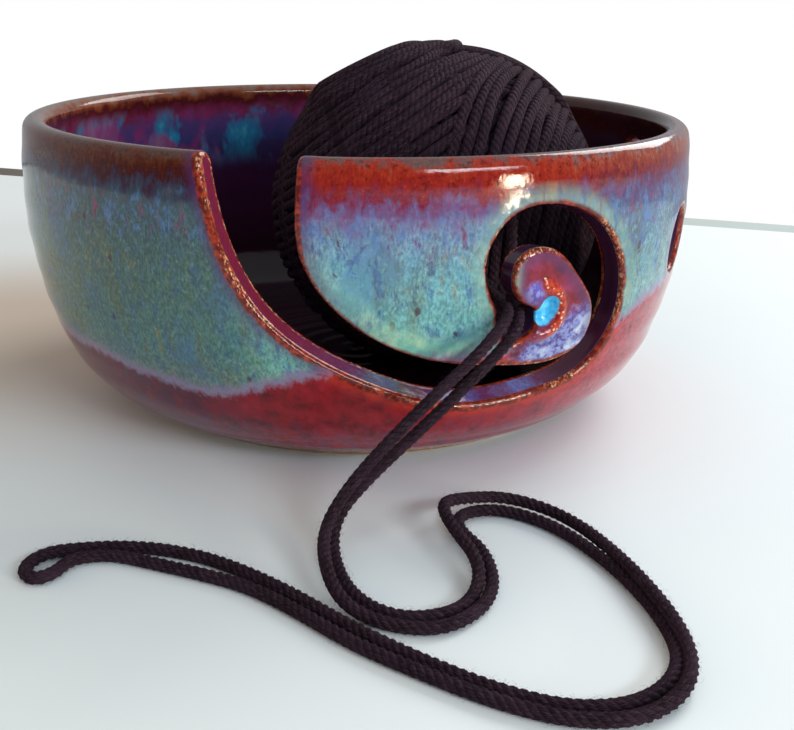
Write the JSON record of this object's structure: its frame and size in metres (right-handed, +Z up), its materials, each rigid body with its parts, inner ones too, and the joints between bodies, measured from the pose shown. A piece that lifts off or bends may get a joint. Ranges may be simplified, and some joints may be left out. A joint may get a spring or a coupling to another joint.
{
  "type": "yarn bowl",
  "caption": "Round glazed bowl with a spiral yarn guide cut through its wall and needle holes, holding a wound ball of yarn that lifts out and turns as yarn is drawn.",
  "frame": {"origin": "centre of the foot ring, on the surface that the bowl stands on", "axes": "+Z up along the axis the bowl was thrown on; -Y is the front, where the yarn guide is; +X is the side with the needle holes and the eye of the guide"},
  "size_m": [0.1548, 0.2197, 0.0807],
  "materials": {
    "glazed_stoneware": "glossy running glaze, teal over crimson",
    "wool_yarn": "soft plied yarn, dark aubergine"
  },
  "bodies": {
    "bowl": {"bowl": "glazed_stoneware", "yarn_tail": "wool_yarn"},
    "yarn_leads": {"yarn_lead_out": "wool_yarn", "yarn_lead_back": "wool_yarn"},
    "yarn_ball": {"yarn_ball": "wool_yarn"}
  },
  "joints": [
    {"name": "ball_lift", "type": "slide", "parent": "bowl", "child": "yarn_leads", "axis": [0, 0, 1], "range_m": [0, 0.08]},
    {"name": "ball_turn", "type": "hinge", "parent": "yarn_leads", "child": "yarn_ball", "pos_m": [0.0185, 0, 0.0427], "axis": [0, 0, 1], "continuous": true}
  ]
}
